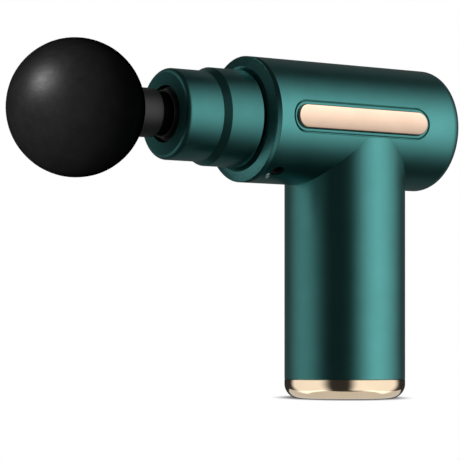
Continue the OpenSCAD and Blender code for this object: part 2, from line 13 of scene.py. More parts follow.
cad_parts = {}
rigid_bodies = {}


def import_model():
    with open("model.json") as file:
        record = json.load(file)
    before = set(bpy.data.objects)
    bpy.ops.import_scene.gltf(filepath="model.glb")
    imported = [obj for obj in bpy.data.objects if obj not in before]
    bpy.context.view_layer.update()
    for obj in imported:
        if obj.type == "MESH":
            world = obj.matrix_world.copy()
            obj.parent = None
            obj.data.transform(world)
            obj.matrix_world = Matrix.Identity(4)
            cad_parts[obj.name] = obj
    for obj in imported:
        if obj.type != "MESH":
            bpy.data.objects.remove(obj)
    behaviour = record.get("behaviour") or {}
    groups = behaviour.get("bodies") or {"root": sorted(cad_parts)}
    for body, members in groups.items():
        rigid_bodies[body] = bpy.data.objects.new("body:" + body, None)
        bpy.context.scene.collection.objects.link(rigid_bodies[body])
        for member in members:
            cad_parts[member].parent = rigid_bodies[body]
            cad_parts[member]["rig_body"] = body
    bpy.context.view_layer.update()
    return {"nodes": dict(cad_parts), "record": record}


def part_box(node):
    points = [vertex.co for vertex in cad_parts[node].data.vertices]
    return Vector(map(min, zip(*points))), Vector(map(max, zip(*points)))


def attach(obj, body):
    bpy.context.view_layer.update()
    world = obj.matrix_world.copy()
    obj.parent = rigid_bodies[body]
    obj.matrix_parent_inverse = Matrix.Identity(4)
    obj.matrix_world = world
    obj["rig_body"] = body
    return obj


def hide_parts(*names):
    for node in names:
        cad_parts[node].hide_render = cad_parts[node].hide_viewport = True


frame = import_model()

MM = 0.001
TURN = 2 * math.pi
SEGMENTS = 192  # round a large turned part
SAME_POINT = 1e-7  # points of a new mesh closer than this are one
WELD = 0.002 * MM  # points closer than this become one after a boolean

# ---------- sizes read from the frame ----------

HOUSING_LOW, HOUSING_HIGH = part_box("housing")
BARREL_R = (HOUSING_HIGH.y - HOUSING_LOW.y) / 2
AXIS_Z = HOUSING_HIGH.z - BARREL_R
BARREL_FRONT = HOUSING_LOW.x
BARREL_REAR = HOUSING_HIGH.x
CAP_TOP = HOUSING_LOW.z

# ---------- sizes that the box of a node doesn't give ----------

WALL = 1.6 * MM
REAR_ROUND = 5.2 * MM
FLAT_R = BARREL_R - REAR_ROUND
EDGE = 0.3 * MM  # the small rounding of a machined edge
SEAM_EDGE = 0.1 * MM  # the rounding where two flush pieces meet
FIT = 0.05 * MM  # the gap between two pieces that are fitted together
HEAD_COLLAR_R = 8.75 * MM


def node_radius(node):
    """Outside radius of a node that is round about the barrel's axis."""
    low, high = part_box(node)
    return (high.z - low.z) / 2


def handle_radius():
    low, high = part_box("base_cap")
    return (high.x - low.x) / 2


HANDLE_R = handle_radius()


# ---------- mesh helpers ----------

def new_object(name, mesh):
    obj = bpy.data.objects.new(name, mesh)
    bpy.context.scene.collection.objects.link(obj)
    return obj


def from_bmesh(name, bm):
    bmesh.ops.remove_doubles(bm, verts=bm.verts, dist=SAME_POINT)
    bmesh.ops.recalc_face_normals(bm, faces=bm.faces)
    mesh = bpy.data.meshes.new(name)
    bm.to_mesh(mesh)
    bm.free()
    return new_object(name, mesh)


def smooth(obj, angle=30):
    """Shades a piece smooth, with a crease wherever two faces meet at more than angle degrees."""
    obj.data.shade_smooth()
    obj.data.set_sharp_from_angle(angle=math.radians(angle))
    return obj


def arc(centre, radius, start, end, steps=8):
    """Points on an arc in the half plane of an outline, from start to end in degrees.

    Zero degrees points away from the axis and 90 degrees points along it.
    """
    points = []
    for i in range(steps + 1):
        angle = math.radians(start + (end - start) * i / steps)
        points.append((
            centre[0] + radius * math.cos(angle),
            centre[1] + radius * math.sin(angle),
        ))
    return points


def rolled_edge(inset, top, edge, steps):
    """Points (inset, height) on a quarter round of radius edge, from a side up to a top."""
    points = []
    for i in range(steps + 1):
        angle = math.pi / 2 * i / steps
        points.append((inset + edge * (1 - math.cos(angle)), top - edge * (1 - math.sin(angle))))
    return points


def lathe(name, outline, axis="x", segments=SEGMENTS):
    """Turns a closed outline of (radius, distance along the axis) into a closed solid."""
    bm = bmesh.new()
    rings = []
    for radius, along in outline:
        ring = []
        for i in range(segments):
            angle = TURN * i / segments
            across, up = radius * math.cos(angle), radius * math.sin(angle)
            place = (along, across, AXIS_Z + up) if axis == "x" else (across, up, along)
            ring.append(bm.verts.new(place))
        rings.append(ring)
    for k, ring in enumerate(rings):
        following = rings[(k + 1) % len(rings)]
        if outline[k][0] == 0 and outline[(k + 1) % len(outline)][0] == 0:
            continue
        for i in range(segments):
            j = (i + 1) % segments
            bm.faces.new((ring[i], ring[j], following[j], following[i]))
    return smooth(from_bmesh(name, bm))


def pill_loop(length, width, inset, straight=48, bend=20):
    """Points (x, z) of a flat bar with round ends, moved inwards by inset."""
    reach = (length - width) / 2
    radius = width / 2 - inset
    points = []
    for side in (1, -1):
        for i in range(bend + 1):
            angle = math.pi / 2 - math.pi * i / bend
            points.append((side * (reach + radius * math.cos(angle)), side * radius * math.sin(angle)))
        for i in range(1, straight):
            points.append((side * reach * (1 - 2 * i / straight), -side * radius))
    return points


def pill_sweep(name, side, centre_x, length, width, profile, closed):
    """A bar with round ends that follows the barrel's skin.

    The profile is a list of (inset from the outline, radius about the barrel's axis).
    A closed profile makes a rim; an open one starts and ends at the bar's centre line.
    """
    bm = bmesh.new()
    rings = []
    for inset, radius in profile:
        ring = []
        for x, z in pill_loop(length, width, inset):
            y = side * math.sqrt(radius ** 2 - z ** 2)
            ring.append(bm.verts.new((centre_x + x, y, AXIS_Z + z)))
        rings.append(ring)
    pairs = list(zip(rings, rings[1:]))
    if closed:
        pairs.append((rings[-1], rings[0]))
    count = len(rings[0])
    for ring, following in pairs:
        for i in range(count):
            j = (i + 1) % count
            bm.faces.new((ring[i], ring[j], following[j], following[i]))
    bmesh.ops.remove_doubles(bm, verts=bm.verts, dist=SAME_POINT)
    bmesh.ops.dissolve_degenerate(bm, edges=bm.edges, dist=SAME_POINT)
    return smooth(from_bmesh(name, bm))


def rod(name, start, end, radius, segments=48):
    """A round bar between two points, used as a cutter."""
    along = Vector(end) - Vector(start)
    bm = bmesh.new()
    bmesh.ops.create_cone(
        bm, cap_ends=True, segments=segments, radius1=radius, radius2=radius, depth=along.length
    )
    turn = along.to_track_quat("Z", "Y").to_matrix().to_4x4()
    bm.transform(turn)
    bmesh.ops.translate(bm, verts=bm.verts, vec=(Vector(start) + Vector(end)) / 2)
    return from_bmesh(name, bm)


def weld(mesh):
    """Joins the points that a boolean leaves almost on top of each other."""
    bm = bmesh.new()
    bm.from_mesh(mesh)
    bmesh.ops.remove_doubles(bm, verts=bm.verts, dist=WELD)
    bmesh.ops.dissolve_degenerate(bm, edges=bm.edges, dist=WELD)
    bm.to_mesh(mesh)
    bm.free()


def combine(obj, tool, operation):
    """Applies a boolean of obj with tool, and deletes tool."""
    modifier = obj.modifiers.new("combine", "BOOLEAN")
    modifier.operation = operation
    modifier.solver = "EXACT"
    modifier.object = tool
    graph = bpy.context.evaluated_depsgraph_get()
    mesh = bpy.data.meshes.new_from_object(obj.evaluated_get(graph))
    obj.modifiers.clear()
    weld(mesh)
    obj.data = mesh
    bpy.data.objects.remove(tool)
    return obj


SLOT_OF_NODE = {part["node"]: part["material_slot"] for part in frame["record"]["subparts"]}


def place(obj, node, material):
    """Lets a piece stand for a CAD node, on the same body and with its material slot."""
    body = frame["nodes"][node]["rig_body"]
    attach(obj, body)
    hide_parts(node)
    obj.data.materials.clear()
    obj.data.materials.append(material)
    return obj


# ---------- materials ----------

class Shader:
    """A node material with one Principled shader and short ways to add detail to it."""

    def __init__(self, name, color, metallic=0.0, roughness=0.4):
        self.material = bpy.data.materials.new(name)
        self.material.use_nodes = True
        self.tree = self.material.node_tree
        self.principled = self.tree.nodes["Principled BSDF"]
        self.set("Base Color", (*color, 1))
        self.set("Metallic", metallic)
        self.set("Roughness", roughness)
        self.color = color
        self.place = self.tree.nodes.new("ShaderNodeTexCoord").outputs["Object"]

    def set(self, name, value):
        self.principled.inputs[name].default_value = value

    def node(self, kind, **inputs):
        made = self.tree.nodes.new(kind)
        for name, value in inputs.items():
            socket = made.inputs[name.replace("_", " ")]
            if isinstance(value, bpy.types.NodeSocket):
                self.tree.links.new(value, socket)
            else:
                socket.default_value = value
        return made

    def link(self, output, name):
        self.tree.links.new(output, self.principled.inputs[name])

    def grain(self, size, detail=3.0, stretch=(1, 1, 1)):
        """Noise between 0 and 1 whose features are about size metres across."""
        scaled = self.tree.nodes.new("ShaderNodeMapping")
        self.tree.links.new(self.place, scaled.inputs["Vector"])
        scaled.inputs["Scale"].default_value = stretch
        made = self.node("ShaderNodeTexNoise", Scale=1 / size, Detail=detail)
        self.tree.links.new(scaled.outputs["Vector"], made.inputs["Vector"])
        return made.outputs["Fac"]

    def remap(self, source, low, high, from_low=0.3, from_high=0.7):
        made = self.node("ShaderNodeMapRange")
        self.tree.links.new(source, made.inputs["Value"])
        made.inputs["From Min"].default_value = from_low
        made.inputs["From Max"].default_value = from_high
        made.inputs["To Min"].default_value = low
        made.inputs["To Max"].default_value = high
        return made.outputs["Result"]

    def vary_roughness(self, source, low, high):
        self.link(self.remap(source, low, high), "Roughness")

    def rough_ends(self, source, around, across):
        """Roughness that changes slowly, and steps up on faces that look along the barrel."""
        shape = self.tree.nodes.new("ShaderNodeSeparateXYZ")
        self.tree.links.new(self.tree.nodes.new("ShaderNodeNewGeometry").outputs["Normal"], shape.inputs[0])
        facing = self.node("ShaderNodeMath", Value=shape.outputs["X"])
        facing.operation = "ABSOLUTE"
        end = self.remap(facing.outputs[0], 0, across - around, 0.9, 0.99)
        total = self.tree.nodes.new("ShaderNodeMath")
        self.tree.links.new(self.remap(source, around * 0.94, around * 1.06), total.inputs[0])
        self.tree.links.new(end, total.inputs[1])
        self.link(total.outputs[0], "Roughness")

    def mix_color(self, source, low_color, high_color):
        """Base colour that goes from one colour to another as source goes from 0 to 1."""
        mix = self.tree.nodes.new("ShaderNodeMix")
        mix.data_type = "RGBA"
        factor, first, second = mix.inputs[0], mix.inputs[6], mix.inputs[7]
        first.default_value = (*low_color, 1)
        second.default_value = (*high_color, 1)
        self.tree.links.new(source, factor)
        self.link(mix.outputs[2], "Base Color")

    def vary_color(self, source, other):
        """Mixes the base colour towards another one where source is high."""
        self.mix_color(self.remap(source, 0, 1), self.color, other)

    def bump(self, source, height, strength=1.0):
        made = self.node("ShaderNodeBump", Strength=strength, Distance=height)
        self.tree.links.new(source, made.inputs["Height"])
        self.link(made.outputs["Normal"], "Normal")


def shade(color, factor):
    return tuple(min(1.0, channel * factor) for channel in color)


def anodised(name, color, roughness, end_roughness, blast=0.004 * MM):
    """Bead-blasted and dyed aluminium with a fine even grain.

    Faces that look along the barrel have their own roughness.
    """
    shader = Shader(name, color, 1.0, roughness)
    shader.rough_ends(shader.grain(14 * MM, 2), roughness, end_roughness)
    shader.vary_color(shader.grain(9 * MM, 2), shade(color, 0.93))
    shader.bump(shader.grain(0.16 * MM, 2), blast)
    return shader.material


def moulded(name, color, roughness=0.42, texture=0.25 * MM):
    """Spark-eroded moulded plastic: a fine leather-like grain."""
    shader = Shader(name, color, 0.0, roughness)
    shader.vary_roughness(shader.grain(6 * MM, 2), roughness * 0.88, roughness * 1.12)
    shader.vary_color(shader.grain(3 * MM, 2), shade(color, 0.8))
    shader.bump(shader.grain(texture, 4), 0.02 * MM, 0.6)
    return shader.material


HEAD_GREY = (0.028, 0.028, 0.029)
HEAD_ROUGHNESS = 0.38


def stem_plastic_with_painted_shade():
    """The grey plastic of the head, with painted shade: black and without shine inside the radius of its
    collar, where the narrow neck between collar and flange lies in shade.
    """
    # painted shade: this black stands for the shade in the neck, not for the plastic's own colour
    black = (0.002, 0.002, 0.002)
    full_shade_r = HEAD_COLLAR_R - 0.9 * MM
    shade_edge_r = HEAD_COLLAR_R - 0.3 * MM
    shader = Shader("head_stem", HEAD_GREY, 0.0, HEAD_ROUGHNESS)
    from_axis = shader.node("ShaderNodeVectorMath", Vector=shader.place)
    from_axis.operation = "SUBTRACT"
    from_axis.inputs[1].default_value = (0, 0, AXIS_Z)
    flat = shader.node("ShaderNodeVectorMath", Vector=from_axis.outputs["Vector"])
    flat.operation = "MULTIPLY"
    flat.inputs[1].default_value = (0, 1, 1)
    radius = shader.node("ShaderNodeVectorMath", Vector=flat.outputs["Vector"])
    radius.operation = "LENGTH"
    # painted shade: colour and shine fade to black towards the neck's radius
    outside = shader.remap(radius.outputs["Value"], 0, 1, full_shade_r, shade_edge_r)
    shader.link(shader.remap(outside, 0.03, 0.5, 0, 1), "Specular IOR Level")
    shader.mix_color(outside, black, HEAD_GREY)
    shader.bump(shader.grain(0.25 * MM, 4), 0.02 * MM, 0.6)
    return shader.material


def turned_metal(name, color, roughness=0.28):
    """Bright machined metal with fine tool marks round the barrel's axis."""
    shader = Shader(name, color, 1.0, roughness)
    marks = shader.grain(0.3 * MM, 2, stretch=(4, 0.4, 0.4))
    shader.vary_roughness(marks, roughness * 0.8, roughness * 1.3)
    shader.vary_color(shader.grain(4 * MM, 2), shade(color, 0.85))
    shader.bump(marks, 0.004 * MM)
    return shader.material


def foam_skin():
    """Closed-cell foam with a moulded skin: soft sheen over very fine pores."""
    color = (0.011, 0.011, 0.0112)
    shader = Shader("foam", color)
    pore = 0.32 * MM
    pores = shader.node("ShaderNodeTexVoronoi", Scale=1 / pore)
    shader.tree.links.new(shader.place, pores.inputs["Vector"])
    shader.vary_roughness(shader.grain(2.5 * MM, 3), 0.42, 0.5)
    shader.vary_color(shader.grain(5 * MM, 3), shade(color, 1.3))
    shader.bump(pores.outputs["Distance"], 0.03 * MM, 0.35)
    grazing = shader.node("ShaderNodeLayerWeight", Blend=0.5).outputs["Facing"]
    shader.link(shader.remap(grazing, 0.25, 0.0, 0.25, 0.75), "Specular IOR Level")
    return shader.material


def frosted_light():
    shader = Shader("frosted_light", (0.92, 0.96, 0.94), 0.0, 0.35)
    shader.set("Transmission Weight", 0.25)
    shader.set("Subsurface Weight", 0.2)
    shader.bump(shader.grain(0.1 * MM, 2), 0.01 * MM)
    return shader.material


def circuit_board():
    """Green solder mask with copper pads showing through as a fine grid of traces."""
    mask, light_mask, trace = (0.02, 0.12, 0.05), (0.025, 0.15, 0.06), (0.10, 0.28, 0.08)
    pitch = 2.4 * MM
    shader = Shader("circuit_board", mask, 0.0, 0.3)
    traces = shader.node("ShaderNodeTexBrick", Scale=1 / pitch)
    shader.tree.links.new(shader.place, traces.inputs["Vector"])
    for name, color in (("Color1", mask), ("Color2", light_mask), ("Mortar", trace)):
        traces.inputs[name].default_value = (*color, 1)
    shader.link(traces.outputs["Color"], "Base Color")
    return shader.material


TEAL = (0.098, 0.345, 0.330)
ROSE_GOLD = (0.930, 0.750, 0.535)
TRIM_GOLD = (0.950, 0.690, 0.520)

MATERIALS = {
    "teal_metal": anodised("teal_metal", TEAL, 0.3, 0.3),
    "teal_turned": anodised("teal_turned", TEAL, 0.3, 0.8),
    "teal_ring": anodised("teal_ring", TEAL, 0.35, 0.35),
    "trim_gap": anodised("trim_rim", shade(TEAL, 0.9), 0.32, 0.32),
    "rose_gold": anodised("rose_gold", ROSE_GOLD, 0.12, 0.12, 0.002 * MM),
    "trim_gold": anodised("trim_gold", TRIM_GOLD, 0.14, 0.14, 0.002 * MM),
    "foam": foam_skin(),
    "head_plastic": moulded("head_plastic", HEAD_GREY, HEAD_ROUGHNESS),
    # the stem's material has the shade of its neck painted in
    "head_stem": stem_plastic_with_painted_shade(),
    "black_plastic": moulded("black_plastic", (0.01, 0.01, 0.011), 0.5),
    "black_rubber": moulded("black_rubber", (0.008, 0.008, 0.008), 0.65, 0.4 * MM),
    "bearing_plastic": moulded("bearing_plastic", (0.62, 0.58, 0.48), 0.4),
    "steel": turned_metal("steel", (0.55, 0.56, 0.58)),
    "cast_alloy": turned_metal("cast_alloy", (0.62, 0.63, 0.65), 0.34),
    "laminated_steel": turned_metal("laminated_steel", (0.11, 0.115, 0.12), 0.4),
    "copper": turned_metal("copper", (0.70, 0.28, 0.12), 0.25),
    "cell_wrap": moulded("cell_wrap", (0.02, 0.09, 0.32), 0.25),
    "circuit_board": circuit_board(),
    "lead_wire": moulded("lead_wire", (0.30, 0.015, 0.012), 0.35),
    "clear_light": frosted_light(),
}


def finish_cad_nodes():
    """Gives every CAD node the material of its slot."""
    for name, obj in frame["nodes"].items():
        obj.data.materials.clear()
        obj.data.materials.append(MATERIALS[SLOT_OF_NODE[name]])


# ---------- housing ----------

TRIM_EDGE = 0.35 * MM
POCKET_FLOOR_R = BARREL_R - 0.9 * MM  # the floor of the pocket for the trim and its rim
TRIM_BOTTOM_R = POCKET_FLOOR_R + 0.02 * MM  # the underside of the trim and its rim


def barrel_outline(inset, front):
    """Closed outline of the barrel, shrunk by inset."""
    radius = BARREL_R - inset
    back = BARREL_REAR - inset
    round_r = REAR_ROUND - inset
    edge = SEAM_EDGE if inset == 0 else 0
    outline = [(0, front)]
    if edge:
        outline += arc((radius - edge, front + edge), edge, -90, 0, 4)
    else:
        outline.append((radius, front))
    outline += arc((FLAT_R, BARREL_REAR - REAR_ROUND), round_r, 0, 90, 24)
    outline.append((0, back))
    return outline


def trim_cutter(side):
    """The pocket that holds the trim and its rim on one side."""
    low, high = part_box("left_trim_frame")
    gap = 0.2 * MM
    length, width = high.x - low.x + 2 * gap, high.z - low.z + 2 * gap
    flare = 0.2 * MM
    centre = width / 2
    above = BARREL_R + MM
    profile = [
        (centre, POCKET_FLOOR_R),
        (0, POCKET_FLOOR_R),
        (0, BARREL_R - flare),
        (-flare, BARREL_R + 0.02 * MM),
        (-flare, above),
        (centre, above),
    ]
    return pill_sweep("cutter", side, (low.x + high.x) / 2, length, width, profile, False)


def skin_direction(node):
    """Unit vector from the barrel's axis to a fitting in its skin, and the fitting's x."""
    low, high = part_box(node)
    middle = (low + high) / 2
    return Vector((0, middle.y, middle.z - AXIS_Z)).normalized(), middle.x


DRILL_START_R, DRILL_END_R = 0.85 * BARREL_R, 1.1 * BARREL_R  # a cut through the barrel's skin


def skin_hole(node, radius):
    """A drill that goes through the barrel's skin where a fitting sits."""
    out, x = skin_direction(node)
    on_axis = Vector((x, 0, AXIS_Z))
    return rod("cutter", on_axis + out * DRILL_START_R, on_axis + out * DRILL_END_R, radius)


JACK_HOLE_R = 2.6 * MM
LEVEL_LIGHT_R = 0.8 * MM
LIGHT_L, LIGHT_W = 4.6 * MM, 1.7 * MM  # the window of the charge light
LIGHT_LEAN = math.radians(25)  # how far the window leans from the skin's round direction


def light_window(name, levels):
    """A bar with round ends through the skin at the charge light.

    Each level is (inset from the window's outline, distance from the barrel's axis).
    """
    out, x = skin_direction("charge_light")
    upwards = Vector((0, out.z, -out.y))
    forwards = Vector((-1, 0, 0))
    along = upwards * math.cos(LIGHT_LEAN) + forwards * math.sin(LIGHT_LEAN)
    across = out.cross(along)
    bm = bmesh.new()
    rings = []
    for inset, radius in levels:
        centre = Vector((x, 0, AXIS_Z)) + out * radius
        loop = pill_loop(LIGHT_L, LIGHT_W, inset, straight=6, bend=10)
        rings.append([bm.verts.new(centre + along * a + across * b) for a, b in loop])
    for ring, following in zip(rings, rings[1:]):
        for i in range(len(ring)):
            j = (i + 1) % len(ring)
            bm.faces.new((ring[i], ring[j], following[j], following[i]))
    bm.faces.new(rings[0])
    bm.faces.new(rings[-1])
    return from_bmesh(name, bm)


def build_charge_light():
    """The frosted window of the charge light, with a softly rounded outer edge."""
    bottom = BARREL_R - WALL + 0.1 * MM
    top = BARREL_R - 0.15 * MM
    edge = 0.25 * MM
    levels = [(FIT, bottom)] + rolled_edge(FIT, top, edge, 4)
    place(smooth(light_window("charge_light_window", levels)), "charge_light", MATERIALS["clear_light"])


CUT_CREASE = 5  # degrees; keeps the shading of the barrel and the grip apart along their seam


def build_housing():
    """The T-shaped shell: barrel and grip in one, hollow, with its pockets and holes."""
    shell = lathe("housing_shell", barrel_outline(0, BARREL_FRONT))
    bevel = EDGE / 2
    grip_outline = [(0, CAP_TOP), (HANDLE_R - bevel, CAP_TOP), (HANDLE_R, CAP_TOP + bevel)]
    grip_outline += [(HANDLE_R, AXIS_Z), (0, AXIS_Z)]
    combine(shell, lathe("grip", grip_outline, "z"), "UNION")
    hollow = lathe("hollow", barrel_outline(WALL, BARREL_FRONT - MM))
    bore_r = HANDLE_R - WALL
    bore_outline = [(0, CAP_TOP - MM), (bore_r, CAP_TOP - MM), (bore_r, AXIS_Z), (0, AXIS_Z)]
    combine(hollow, lathe("bore", bore_outline, "z"), "UNION")
    combine(shell, hollow, "DIFFERENCE")
    for side in (-1, 1):
        combine(shell, trim_cutter(side), "DIFFERENCE")
    combine(shell, skin_hole("charge_jack", JACK_HOLE_R), "DIFFERENCE")
    window = light_window("cutter", [(0, DRILL_START_R), (0, DRILL_END_R)])
    combine(shell, window, "DIFFERENCE")
    cut_rear_panel(shell)
    place(smooth(shell, CUT_CREASE), "housing", MATERIALS["teal_metal"])


def cut_rear_panel(shell):
    """Holes in the rear face for the power button and the level lights."""
    low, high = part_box("power_button")
    flange_overlap = 0.7 * MM
    button_r = (high.y - low.y) / 2 - flange_overlap
    inside, outside = BARREL_REAR - 2 * WALL, BARREL_REAR + MM
    drill = rod("cutter", (inside, 0, AXIS_Z), (outside, 0, AXIS_Z), button_r, 96)
    combine(shell, drill, "DIFFERENCE")
    for centre in light_centres():
        start = (inside, centre.y, centre.z)
        end = (outside, centre.y, centre.z)
        combine(shell, rod("cutter", start, end, LEVEL_LIGHT_R, 32), "DIFFERENCE")


def light_centres():
    """Centres of the level lights, found as the separate clusters of the node's vertices."""
    clusters = []
    reach = 2 * MM
    for vertex in frame["nodes"]["level_lights"].data.vertices:
        near = [c for c in clusters if (c[0] - vertex.co).yz.length < reach]
        if near:
            near[0].append(vertex.co.copy())
        else:
            clusters.append([vertex.co.copy()])
    centres = []
    for cluster in clusters:
        low = Vector(map(min, *cluster))
        high = Vector(map(max, *cluster))
        centres.append((low + high) / 2)
    return centres


# ---------- nose ----------

def build_front_ring():
    """The ring that closes the barrel: a round side, a sloping face, and a recess inside its crest."""
    low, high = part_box("front_ring")
    tube_r = tube_radius() + FIT
    outer_r = node_radius("front_ring")
    side_l = 1.9 * MM
    side_front = BARREL_FRONT - side_l
    recess_w, recess_depth = 1.35 * MM, 1.3 * MM
    crest_r = node_radius("nose_collar") + recess_w
    recess_floor = low.x + recess_depth
    slope = math.degrees(math.atan2(outer_r - crest_r, side_front - low.x))
    outline = [(tube_r, BARREL_FRONT), (tube_r, recess_floor)]
    outline += arc((crest_r, low.x + EDGE), EDGE, -110, -slope, 6)
    outline += arc((outer_r - EDGE, side_front + EDGE / 2), EDGE, -slope, 0, 5)
    outline += arc((outer_r - SEAM_EDGE, BARREL_FRONT - SEAM_EDGE), SEAM_EDGE, 0, 90, 4)
    plug_r = BARREL_R - WALL - FIT
    plug_wall = 2.5 * MM
    plug_inner_r = plug_r - plug_wall
    outline += [(plug_r, BARREL_FRONT), (plug_r, high.x)]
    outline += [(plug_inner_r, high.x), (plug_inner_r, BARREL_FRONT)]
    place(lathe("front_ring_turned", outline), "front_ring", MATERIALS["teal_ring"])


def tube_radius():
    """Radius of the nose tube's middle part, which shows in the gap behind the collar."""
    gap_middle = (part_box("nose_collar")[1].x + BARREL_FRONT) / 2
    points = [vertex.co for vertex in frame["nodes"]["nose_tube"].data.vertices]
    return max(Vector((p.y, p.z - AXIS_Z)).length for p in points if p.x < gap_middle)


def build_nose_collar():
    """The wider nose ring with its sloping front."""
    low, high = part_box("nose_collar")
    outer_r = node_radius("nose_collar")
    front_r = node_radius("nose_cap") - FIT
    inner_r = tube_radius() + FIT
    ramp = 2.5 * MM
    slope = math.degrees(math.atan2(outer_r - front_r, ramp))
    outline = [(inner_r, high.x), (inner_r, low.x), (front_r, low.x)]
    shoulder = 2 * EDGE
    outline += arc((outer_r - shoulder, low.x + ramp + EDGE), shoulder, -slope, 0, 8)
    outline += arc((outer_r - EDGE, high.x - EDGE), EDGE, 0, 90, 5)
    ring = lathe("nose_collar_ring", outline)
    place(ring, "nose_collar", MATERIALS["teal_turned"])


def build_nose_cap():
    """The narrower nose ring with a rounded front edge and a round mouth."""
    low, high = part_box("nose_cap")
    outer_r = node_radius("nose_cap")
    mouth_r = 10.2 * MM
    front_edge = 2 * MM
    wall = 1.5 * MM
    inner_r = 14.05 * MM
    outline = arc((mouth_r + EDGE, low.x + EDGE), EDGE, 180, 270, 5)
    outline += arc((outer_r - front_edge, low.x + front_edge), front_edge, -90, 0, 14)
    outline += arc((outer_r - EDGE / 2, high.x - EDGE / 2), EDGE / 2, 0, 90, 3)
    outline += [(inner_r, high.x), (inner_r, low.x + wall), (mouth_r, low.x + wall)]
    ring = lathe("nose_cap_ring", outline)
    place(ring, "nose_cap", MATERIALS["teal_turned"])


# ---------- trim ----------

def build_trim(node, side):
    """The gold plate: a bar with round ends and a rolled edge, following the barrel."""
    low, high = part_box(node)
    length, width = high.x - low.x, high.z - low.z
    top_r = max(abs(low.y), abs(high.y))
    profile = [(width / 2, TRIM_BOTTOM_R), (0, TRIM_BOTTOM_R)]
    profile += rolled_edge(0, top_r, TRIM_EDGE, 8)
    steps = 6
    for i in range(1, steps + 1):
        inset = TRIM_EDGE + (width / 2 - TRIM_EDGE) * i / steps
        profile.append((inset, top_r))
    plate = pill_sweep(node + "_plate", side, (low.x + high.x) / 2, length, width, profile, False)
    place(plate, node, MATERIALS["trim_gold"])


def build_trim_rim(node, side):
    """The teal rim round the gold plate."""
    low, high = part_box(node)
    length, width = high.x - low.x, high.z - low.z
    inner_low, inner_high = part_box(node.replace("_frame", ""))
    outer, plate_gap = 0.1 * MM, 0.08 * MM
    inner = (width - (inner_high.z - inner_low.z)) / 2 - plate_gap
    top_r = BARREL_R - FIT
    inner_edge = rolled_edge(-inner, top_r, EDGE, 4)
    profile = [(outer, TRIM_BOTTOM_R)]
    profile += rolled_edge(outer, top_r, TRIM_EDGE, 6)
    profile += [(-inset, radius) for inset, radius in reversed(inner_edge)]
    profile.append((inner, TRIM_BOTTOM_R))
    made = pill_sweep(node + "_rim", side, (low.x + high.x) / 2, length, width, profile, True)
    place(made, node, MATERIALS["trim_gap"])


# ---------- base ----------

def build_base_cap():
    """The gold cap, with a rounded foot, a spigot that goes up the grip, and two screw holes."""
    top = CAP_TOP - FIT
    foot = 5.6 * MM
    spigot_r = HANDLE_R - WALL - 2 * FIT
    spigot_inner_r = spigot_r - 2 * MM
    spigot_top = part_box("base_cap")[1].z
    floor = 1.8 * MM
    outline = [(0, 0)]
    outline += arc((HANDLE_R - foot, foot), foot, -90, 0, 24)
    outline += arc((HANDLE_R - EDGE / 2, top - EDGE / 2), EDGE / 2, 0, 90, 3)
    outline += [(spigot_r, top), (spigot_r, spigot_top), (spigot_inner_r, spigot_top)]
    outline += [(spigot_inner_r, floor), (0, floor)]
    cap = lathe("base_cap_turned", outline, "z")
    low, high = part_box("base_screws")
    screw_head_r, screw_head_h = 2.3 * MM, 0.9 * MM
    sink_r, hole_r, drill_top = 2.6 * MM, 1.3 * MM, 4 * MM
    reach = (high.x - low.x) / 2 - screw_head_r
    for side in (-1, 1):
        x = side * reach
        combine(cap, rod("cutter", (x, 0, -MM), (x, 0, screw_head_h), sink_r), "DIFFERENCE")
        combine(cap, rod("cutter", (x, 0, -MM), (x, 0, drill_top), hole_r), "DIFFERENCE")
    place(smooth(cap), "base_cap", MATERIALS["rose_gold"])


# ---------- head ----------

CORE_R = 12 * MM  # the round end of the moulded core, inside the foam
POST_R = 6 * MM  # the post that joins the core to the collar


def build_ball():
    """The foam ball: a skin that dips softly into the hole for the head's collar."""
    low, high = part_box("head_ball")
    ball_r = (high.z - low.z) / 2
    centre = low.x + ball_r
    lip = 0.7 * MM
    lip_r = HEAD_COLLAR_R + lip
    seat_r, seat_depth = HEAD_COLLAR_R + FIT, 2 * MM
    core_r = CORE_R + FIT
    hole_r = POST_R + FIT
    lip_angle = math.degrees(math.asin(lip_r / ball_r))
    outline = [(0, centre - ball_r)]
    outline += arc((0, centre), ball_r, -90, 90 - lip_angle, 96)[1:]
    rim_x = centre + math.sqrt(ball_r ** 2 - lip_r ** 2)
    outline += [(HEAD_COLLAR_R + 0.3 * lip, rim_x - 0.15 * lip), (seat_r, rim_x - lip)]
    outline += [(seat_r, rim_x - seat_depth), (hole_r, rim_x - seat_depth)]
    core_angle = math.degrees(math.asin(hole_r / core_r))
    outline += arc((0, centre), core_r, 90 - core_angle, -90, 24)[:-1]
    outline.append((0, centre - core_r))
    ball = lathe("foam_ball", outline)
    roughen(ball, Vector((centre, 0, AXIS_Z)), ball_r * 0.9)
    place(ball, "head_ball", MATERIALS["foam"])


def roughen(obj, centre, beyond):
    """Moves the points outside a radius in and out a little, as moulded foam is never quite true."""
    waves = ((9 * MM, 0.05 * MM), (0.9 * MM, 0.02 * MM))  # each a width and a height
    for vertex in obj.data.vertices:
        out = vertex.co - centre
        if out.length < beyond:
            continue
        move = sum(noise.noise(vertex.co / width) * height for width, height in waves)
        vertex.co += out.normalized() * move


